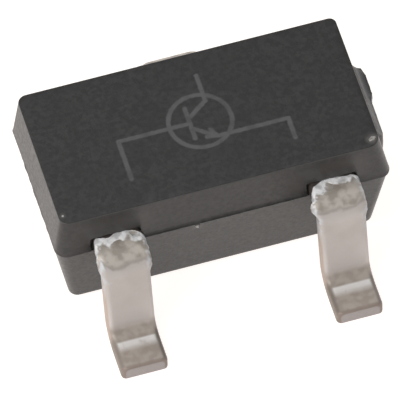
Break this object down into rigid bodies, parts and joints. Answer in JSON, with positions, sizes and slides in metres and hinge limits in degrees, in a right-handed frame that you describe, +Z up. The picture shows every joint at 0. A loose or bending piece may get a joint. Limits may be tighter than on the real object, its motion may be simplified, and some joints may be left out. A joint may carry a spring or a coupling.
{
  "type": "npn transistor",
  "caption": "Small moulded surface-mount transistor with a drafted black plastic body and tin-plated gull-wing leads.",
  "frame": {"origin": "on the solder plane, halfway between the tips of the front and rear leads and in the middle of the body's length", "axes": "+X along the body from the base lead to the emitter lead, +Y towards the single collector lead, +Z up from the solder plane"},
  "size_m": [0.003, 0.003, 0.0013],
  "materials": {
    "epoxy": "fine-grained matte charcoal moulding compound",
    "tin_plating": "satin tin plating with a rough, bright shoulder",
    "silicon": "polished blue-grey silicon",
    "silver_epoxy": "dull grey silver-filled epoxy",
    "gold_wire": "bright drawn gold"
  },
  "bodies": {
    "root": {"mould_body": "epoxy", "collector_lead": "tin_plating", "base_lead": "tin_plating", "emitter_lead": "tin_plating", "transistor_die": "silicon", "die_attach": "silver_epoxy", "base_bond_wire": "gold_wire", "emitter_bond_wire": "gold_wire"}
  },
  "joints": []
}
